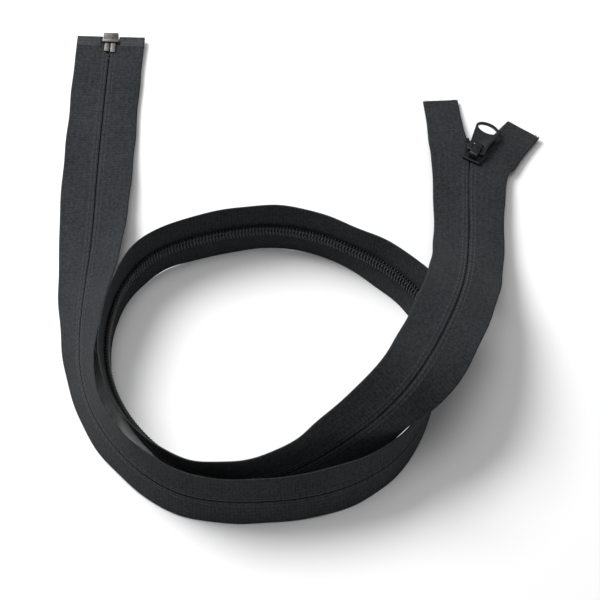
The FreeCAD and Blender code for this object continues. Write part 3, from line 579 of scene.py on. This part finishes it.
class Nodes:
    """Short calls for building one material's node tree."""

    def __init__(self, name):
        self.material = bpy.data.materials.new(name)
        self.material.use_nodes = True
        self.tree = self.material.node_tree
        self.shader = self.tree.nodes["Principled BSDF"]

    def link(self, value, socket):
        if hasattr(value, "is_output"):
            self.tree.links.new(value, socket)
        else:
            socket.default_value = value

    def math(self, operation, a, b=0.5, clamp=False):
        node = self.tree.nodes.new("ShaderNodeMath")
        node.operation = operation
        node.use_clamp = clamp
        self.link(a, node.inputs[0])
        self.link(b, node.inputs[1])
        return node.outputs[0]

    def uv(self):
        node = self.tree.nodes.new("ShaderNodeUVMap")
        node.uv_map = "weave"
        parts = self.tree.nodes.new("ShaderNodeSeparateXYZ")
        self.tree.links.new(node.outputs[0], parts.inputs[0])
        return parts.outputs[0], parts.outputs[1]

    def place(self):
        return self.tree.nodes.new("ShaderNodeTexCoord").outputs["Object"]

    def noise(self, vector, scale, detail=3.0, roughness=0.55):
        node = self.tree.nodes.new("ShaderNodeTexNoise")
        self.link(vector, node.inputs["Vector"])
        node.inputs["Scale"].default_value = scale
        node.inputs["Detail"].default_value = detail
        node.inputs["Roughness"].default_value = roughness
        return node.outputs["Fac"]

    def ramp(self, value, stops):
        node = self.tree.nodes.new("ShaderNodeValToRGB")
        self.link(value, node.inputs[0])
        elements = node.color_ramp.elements
        elements[0].position, elements[0].color = stops[0][0], (*stops[0][1], 1)
        elements[1].position, elements[1].color = stops[-1][0], (*stops[-1][1], 1)
        for position, colour in stops[1:-1]:
            elements.new(position).color = (*colour, 1)
        return node.outputs[0]

    def range(self, value, low, high, to_low, to_high):
        node = self.tree.nodes.new("ShaderNodeMapRange")
        self.link(value, node.inputs["Value"])
        for name, number in (("From Min", low), ("From Max", high), ("To Min", to_low), ("To Max", to_high)):
            node.inputs[name].default_value = number
        return node.outputs[0]

    def bump(self, height, strength, distance):
        node = self.tree.nodes.new("ShaderNodeBump")
        node.inputs["Strength"].default_value = strength
        node.inputs["Distance"].default_value = distance
        self.link(height, node.inputs["Height"])
        self.tree.links.new(node.outputs[0], self.shader.inputs["Normal"])

    def set(self, **values):
        for name, value in values.items():
            self.link(value, self.shader.inputs[name.replace("_", " ")])


WARP = 0.62
WEFT = 0.5
ROW_LENGTH = 1.5
RIB_WIDTH = 2.48
TWIST_RATE = 9.0
METAL_GRAIN = 0.25


def weave_height(nodes, u, v):
    """Plain weave: warp and weft threads that pass over each other by turns."""
    across = nodes.math("DIVIDE", u, WARP)
    along = nodes.math("DIVIDE", v, WEFT)
    cell = nodes.math("ADD", nodes.math("FLOOR", across), nodes.math("FLOOR", along))
    parity = nodes.math("ABSOLUTE", nodes.math("MODULO", cell, 2.0))
    over_warp = nodes.math("SINE", nodes.math("MULTIPLY", nodes.math("FRACT", across), math.pi))
    over_weft = nodes.math("SINE", nodes.math("MULTIPLY", nodes.math("FRACT", along), math.pi))
    first = nodes.math("MULTIPLY", over_warp, parity)
    second = nodes.math("MULTIPLY", over_weft, nodes.math("SUBTRACT", 1.0, parity))
    return nodes.math("ADD", first, nodes.math("MULTIPLY", second, 0.8))


def tape_material(name, dark, light):
    """Woven cloth whose tone follows the threads, the fuzz on them and broad clouds of wear, with painted
    shade along the inner edge where the two tapes meet.
    """
    nodes = Nodes(name)
    u, v = nodes.uv()
    weave = weave_height(nodes, u, v)
    fuzz = nodes.noise(nodes.place(), 2600, 4.0, 0.7)
    mottle = nodes.noise(nodes.place(), 850, 2.0, 0.6)
    cloud = nodes.noise(nodes.place(), 45, 3.0)
    rows = nodes.math("SINE", nodes.math("MULTIPLY", v, 2 * math.pi / ROW_LENGTH))
    ribs = nodes.math("SINE", nodes.math("MULTIPLY", u, 2 * math.pi / RIB_WIDTH))
    # Painted shade: a dark line along the inner edge, where the gap between the two tapes lies in shadow.
    gap_shade = nodes.math("LESS_THAN", u, 0.3)
    tone = nodes.math("ADD", nodes.math("MULTIPLY", weave, 0.34), nodes.math("MULTIPLY", fuzz, 0.3))
    tone = nodes.math("ADD", tone, nodes.math("MULTIPLY", cloud, 0.34))
    tone = nodes.math("ADD", tone, nodes.math("MULTIPLY", ribs, 0.02))
    tone = nodes.math("ADD", tone, nodes.math("MULTIPLY", rows, 0.05))
    tone = nodes.math("ADD", tone, nodes.range(mottle, 0.3, 0.7, -0.2, 0.2))
    # Painted shade in the gap between the tapes darkens the cloth along its inner edge.
    tone = nodes.math("SUBTRACT", tone, nodes.math("MULTIPLY", gap_shade, 0.5), clamp=True)
    nodes.set(Base_Color=nodes.ramp(tone, ((0.0, dark), (1.0, light))))
    nodes.set(Roughness=nodes.range(fuzz, 0.3, 0.7, 0.72, 0.95))
    nodes.set(Sheen_Weight=0.03, Sheen_Roughness=0.5, Specular_IOR_Level=0.05)
    height = nodes.math("ADD", nodes.math("MULTIPLY", weave, 0.75), nodes.math("MULTIPLY", fuzz, 0.35))
    height = nodes.math("ADD", height, nodes.math("MULTIPLY", ribs, 0.12))
    nodes.bump(height, 0.75, 0.00016)
    return nodes.material


def filament_material():
    nodes = Nodes("coil_filament")
    fine = nodes.noise(nodes.place(), 900, 2.0)
    broad = nodes.noise(nodes.place(), 60, 2.0)
    nodes.set(Base_Color=nodes.ramp(broad, ((0.3, (0.006, 0.0065, 0.007)), (0.75, (0.02, 0.021, 0.023)))))
    nodes.set(Roughness=nodes.range(fine, 0.3, 0.7, 0.3, 0.48), Specular_IOR_Level=0.5)
    nodes.bump(fine, 0.15, 0.00005)
    return nodes.material


def thread_material(name, dark, light):
    nodes = Nodes(name)
    u, v = nodes.uv()
    slanted = nodes.math("ADD", nodes.math("MULTIPLY", u, 1.6), v)
    twist = nodes.math("SINE", nodes.math("MULTIPLY", slanted, TWIST_RATE))
    fuzz = nodes.noise(nodes.place(), 3200, 3.0, 0.7)
    tone = nodes.math("ADD", nodes.math("MULTIPLY", twist, 0.2), fuzz, clamp=True)
    nodes.set(Base_Color=nodes.ramp(tone, ((0.1, dark), (0.9, light))))
    nodes.set(Roughness=nodes.range(fuzz, 0.3, 0.7, 0.6, 0.85), Sheen_Weight=0.15)
    nodes.bump(tone, 0.6, 0.00008)
    return nodes.material


def metal_material(name, dark, light, metallic, rough, wear=0.0):
    """Plated or painted metal; wear makes its outer edges lighter."""
    nodes = Nodes(name)
    place = nodes.place()
    cloud = nodes.noise(place, 260, 4.0, 0.65)
    fine = nodes.noise(place, 2400, 3.0, 0.6)
    broad, close = nodes.math("MULTIPLY", cloud, 0.7), nodes.math("MULTIPLY", fine, 0.3)
    tone = nodes.math("ADD", broad, close, clamp=True)
    if wear:
        edge = nodes.tree.nodes.new("ShaderNodeNewGeometry").outputs["Pointiness"]
        rubbed = nodes.range(edge, 0.52, 0.6, 0.0, wear)
        tone = nodes.math("ADD", tone, rubbed, clamp=True)
    nodes.set(Base_Color=nodes.ramp(tone, ((0.3, dark), (0.85, light))))
    nodes.set(Metallic=metallic, Specular_IOR_Level=0.5)
    nodes.set(Roughness=nodes.range(fine, 0.3, 0.7, rough - 0.07, rough + 0.09))
    nodes.bump(tone, METAL_GRAIN, 0.00006)
    return nodes.material


TAPE = tape_material("woven_tape", (0.003, 0.0034, 0.0037), (0.049, 0.054, 0.058))
FILM = tape_material("reinforcing_film", (0.014, 0.015, 0.016), (0.075, 0.081, 0.085))
COIL = filament_material()
THREAD = thread_material("sewing_thread", (0.004, 0.0045, 0.005), (0.028, 0.031, 0.033))
CORD = thread_material("filler_cord_thread", (0.012, 0.012, 0.013), (0.04, 0.042, 0.045))
GUNMETAL = metal_material("gunmetal_plating", (0.045, 0.042, 0.04), (0.2, 0.19, 0.18), 0.8, 0.38, wear=0.3)
PAINT = metal_material("slider_enamel", (0.008, 0.009, 0.0095), (0.032, 0.035, 0.037), 0.35, 0.34, wear=0.12)
SPRING = metal_material("spring_steel", (0.2, 0.2, 0.2), (0.5, 0.5, 0.5), 1.0, 0.3)


def melt_material():
    nodes = Nodes("melted_end")
    fine = nodes.noise(nodes.place(), 1800, 3.0)
    nodes.set(Base_Color=nodes.ramp(fine, ((0.3, (0.32, 0.32, 0.31)), (0.7, (0.8, 0.8, 0.78)))))
    nodes.set(Roughness=nodes.range(fine, 0.3, 0.7, 0.45, 0.7))
    nodes.bump(fine, 0.4, 0.0001)
    return nodes.material


MELT = melt_material()


def dress(obj, material):
    obj.data.materials.clear()
    obj.data.materials.append(material)
    return obj


# ---------------------------------------------------------------- tapes, coils, cords and stitches


def bend_at_hinge(obj):
    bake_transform(obj)


tapes = []
for side, side_name in SIDES:
    lower = tape_piece(f"{side_name}_tape_cloth", side, 0.0, SPLIT_AT)
    upper = tape_piece(f"{side_name}_tape_top_cloth", side, SPLIT_AT, TAPE_END[side])
    for piece, node in ((lower, f"{side_name}_tape"), (upper, f"{side_name}_tape_top")):
        dress(piece, TAPE)
        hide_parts(node)
    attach(lower, "closed_chain")
    bend_at_hinge(upper)
    tapes.append((side, side_name, lower, upper))

for side, side_name in SIDES:
    for kind, maker, material, slot in (("coil", coil_piece, COIL, "coil"),
                                        ("filler_cord", cord_piece, CORD, "thread")):
        lower = maker(f"{side_name}_{kind}_turns", side, COIL_START, SPLIT_AT)
        upper = maker(f"{side_name}_{kind}_top_turns", side, SPLIT_AT, COIL_END[side])
        for piece, node in ((lower, f"{side_name}_{kind}"), (upper, f"{side_name}_{kind}_top")):
            dress(piece, material)
            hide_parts(node)
        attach(lower, "closed_chain")
        bend_at_hinge(upper)
    for row, u in STITCH_ROWS:
        node = f"{side_name}_{row}_stitching"
        lower = stitch_row(f"{node}_thread", side, u, COIL_START, SPLIT_AT)
        upper = stitch_row(f"{node}_top_thread", side, u, SPLIT_AT, TOP_DISTANCE[side][1] - STITCH_END_GAP)
        for piece, stood_for in ((lower, node), (upper, f"{node}_top")):
            dress(piece, THREAD)
            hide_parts(stood_for)
        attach(lower, "closed_chain")
        bend_at_hinge(upper)
    for face, face_name in ((1, "front"), (-1, "back")):
        film = film_piece(f"{side_name}_{face_name}_film_sheet", side, face)
        dress(film, FILM)
        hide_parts(f"{side_name}_{face_name}_film")
        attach(film, "closed_chain")

for side, side_name, lower, upper in tapes:
    width = TAPE_WIDTH * MM


# ---------------------------------------------------------------- metal parts

BEVEL_SEGMENTS = 3
BEVEL_ANGLE = math.radians(28)
FLAT_ANGLE = math.radians(2)
WELD_DISTANCE = 0.000002


def finer(node, name, width):
    """Rounded copy of a CAD node: flat faces joined, then every sharp edge bevelled."""
    source = frame["nodes"][node]
    mesh = bmesh.new()
    mesh.from_mesh(source.data)
    bmesh.ops.remove_doubles(mesh, verts=mesh.verts, dist=WELD_DISTANCE)
    bmesh.ops.dissolve_limit(mesh, angle_limit=FLAT_ANGLE, verts=mesh.verts, edges=mesh.edges)
    data = bpy.data.meshes.new(name)
    mesh.to_mesh(data)
    mesh.free()
    obj = linked_object(name, data, smooth=True)
    bevel = obj.modifiers.new("rounded", "BEVEL")
    bevel.width = width * MM
    bevel.segments = BEVEL_SEGMENTS
    bevel.limit_method = "ANGLE"
    bevel.angle_limit = BEVEL_ANGLE
    bevel.harden_normals = True
    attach(obj, source["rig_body"])
    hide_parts(node)
    return obj


METAL = [
    ("retainer_box", 0.14, GUNMETAL, "gunmetal"), ("retainer_pin", 0.3, GUNMETAL, "gunmetal"),
    ("insertion_pin", 0.3, GUNMETAL, "gunmetal"), ("slider_body", 0.18, PAINT, "slider_paint"),
    ("slider_cap", 0.25, PAINT, "slider_paint"), ("lock_pawl", 0.08, SPRING, "spring_steel"),
    ("pull_tab", 0.24, PAINT, "slider_paint"), ("left_top_stop", 0.12, PAINT, "slider_paint"),
    ("right_top_stop", 0.12, PAINT, "slider_paint"),
]
for node, width, material, slot in METAL:
    dress(finer(node, f"{node}_metal", width), material)


# Beads of melted cloth along a cut end: distance from the chain and radius.
MELTED_BEADS = ((15.4, 0.5), (14.6, 0.36), (13.9, 0.42), (12.9, 0.24), (10.6, 0.2), (3.2, 0.22), (1.3, 0.28))
BEAD_PAST_END = 0.05
BEAD_LIFT = 0.3
BEAD_SHAPE = np.array([1.2, 0.9, 0.6])


def melted_edge(name, side, side_name):
    """Small pale beads where the heat-cut edge of the tape has melted."""
    mesh = bmesh.new()
    end = np.array([TAPE_END[side] + BEAD_PAST_END])
    for number, (u, radius) in enumerate(MELTED_BEADS):
        place = tape_surface(side, end, np.array([u]), BEAD_LIFT)[0]
        made = bmesh.ops.create_icosphere(mesh, subdivisions=2, radius=1.0)
        for vert in made["verts"]:
            rough = 1 + 0.16 * math.sin(5 * vert.co.x + number) + 0.12 * math.sin(7 * vert.co.y - number)
            vert.co = Vector(place + np.array(vert.co) * rough * radius * BEAD_SHAPE) * MM
    data = bpy.data.meshes.new(name)
    mesh.to_mesh(data)
    mesh.free()
    obj = linked_object(name, data, smooth=True)
    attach(obj, f"{side_name}_flap")
    return dress(obj, MELT)


for side, side_name in SIDES:
    melted_edge(f"{side_name}_tail_melted_edge", side, side_name)


# ---------------------------------------------------------------- floor, light and camera

CAMERA_TARGET = np.array([-1.0, -20.0, 0.0]) * MM
CAMERA_DISTANCE = 0.808
CAMERA_ELEVATION = math.radians(61)
CAMERA_LENS = 110
CAMERA_SENSOR = 36
WORLD_STRENGTH = 0.2
FLOOR_HEIGHT = -0.0002

floor_mesh = bpy.data.meshes.new("floor")
SPAN = 3.0
CORNERS = [(-SPAN, -SPAN, 0), (SPAN, -SPAN, 0), (SPAN, SPAN, 0), (-SPAN, SPAN, 0)]
floor_mesh.from_pydata(CORNERS, [], [(0, 1, 2, 3)])
floor = linked_object("floor", floor_mesh)
floor.location.z = FLOOR_HEIGHT
floor_nodes = Nodes("pale_floor")
floor_nodes.set(Base_Color=(0.86, 0.86, 0.86, 1), Roughness=0.9)
floor_mesh.materials.append(floor_nodes.material)


def area_light(name, place, size, power):
    """Round light that faces the middle of the scene; place and size in metres, power in watts."""
    data = bpy.data.lights.new(name, "AREA")
    data.shape = "DISK"
    data.size = size
    data.energy = power
    obj = linked_object(name, data)
    obj.location = place
    obj.rotation_mode = "QUATERNION"
    obj.rotation_quaternion = (Vector((0, 0, 0)) - Vector(place)).to_track_quat("-Z", "Y")


area_light("key", (-0.7, 0.5, 1.05), 0.75, 22)
area_light("fill", (0.5, -0.9, 1.1), 1.2, 0.6)
area_light("top", (0.0, 0.1, 1.7), 1.0, 8)

world = bpy.data.worlds.new("studio")
world.use_nodes = True
world.node_tree.nodes["Background"].inputs[0].default_value = (1, 1, 1, 1)
world.node_tree.nodes["Background"].inputs[1].default_value = WORLD_STRENGTH
bpy.context.scene.world = world

camera_data = bpy.data.cameras.new("camera")
camera_data.lens = CAMERA_LENS
camera_data.sensor_width = CAMERA_SENSOR
camera_data.clip_start = 0.01
camera_data.clip_end = 20
camera = linked_object("camera", camera_data)
away = Vector((0, -math.cos(CAMERA_ELEVATION), math.sin(CAMERA_ELEVATION)))
camera.location = Vector(CAMERA_TARGET) + away * CAMERA_DISTANCE
camera.rotation_mode = "QUATERNION"
camera.rotation_quaternion = (-away).to_track_quat("-Z", "Y")
bpy.context.scene.camera = camera
bpy.context.scene.view_settings.view_transform = "Standard"
